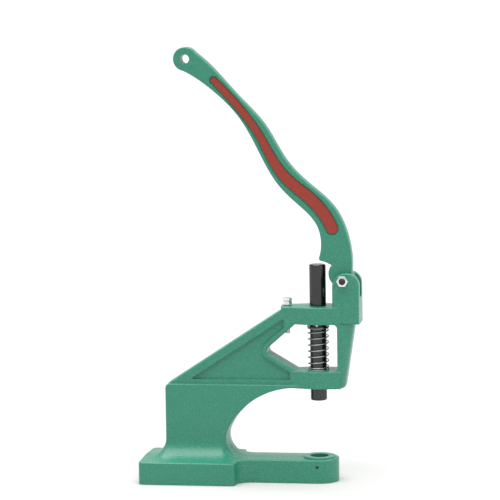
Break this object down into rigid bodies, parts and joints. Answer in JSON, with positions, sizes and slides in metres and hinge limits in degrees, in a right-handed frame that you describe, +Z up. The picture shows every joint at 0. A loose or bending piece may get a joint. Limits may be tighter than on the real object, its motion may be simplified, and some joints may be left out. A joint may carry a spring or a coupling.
{
  "type": "hand press for eyelets and snap fasteners",
  "caption": "Bench hand press with a C-shaped cast frame, a cranked lever on a clevis pivot and a sprung vertical ram over a die socket.",
  "frame": {"origin": "on the ram's axis, in the plane that the base rests on", "axes": "+X to the front, where the nose of the base points; +Y across the machine to the side of the pivot bolt's head; +Z up along the ram and the die socket"},
  "size_m": [0.2204, 0.079, 0.4336],
  "materials": {
    "green_enamel": "hammered green enamel on cast iron",
    "red_enamel": "satin red enamel fill",
    "black_steel": "oiled black oxide on ground steel",
    "spring_steel": "bright drawn spring wire",
    "bright_steel": "bright turned steel",
    "zinc_steel": "bright zinc plate",
    "bronze": "turned bronze"
  },
  "bodies": {
    "frame": {"frame": "green_enamel", "spring_washer_bottom": "bright_steel", "return_spring": "spring_steel", "pivot_bolt": "black_steel", "pivot_nut": "zinc_steel", "pivot_washer": "zinc_steel", "stop_lock_nut": "zinc_steel", "die_set_screw": "black_steel"},
    "ram": {"ram": "black_steel", "ram_cross_pin": "bright_steel", "spring_washer_top": "black_steel"},
    "lever": {"lever": "green_enamel", "lever_bush": "bronze", "lever_strip_near": "red_enamel", "lever_strip_far": "red_enamel"},
    "stop_screw": {"stop_bolt": "zinc_steel"}
  },
  "joints": [
    {"name": "lever_pivot", "type": "hinge", "parent": "frame", "child": "lever", "pos_m": [0.027, 0, 0.2027], "axis": [0, -1, 0], "range_deg": [0, 65], "stiffness_Nm_per_rad": 2.4, "springref_deg": -19.82},
    {"name": "ram_slide", "type": "slide", "parent": "frame", "child": "ram", "axis": [0, 0, -1], "range_m": [0, 0.0314], "stiffness_N_per_m": 60, "springref_m": -0.05, "deforming": ["return_spring"]},
    {"name": "stop_screw_height", "type": "slide", "parent": "frame", "child": "stop_screw", "axis": [0, 0, 1], "range_m": [0, 0.006]}
  ],
  "couplings": [
    {"joint": "ram_slide", "follows": "lever_pivot", "m_per_rad": 0.02733}
  ]
}
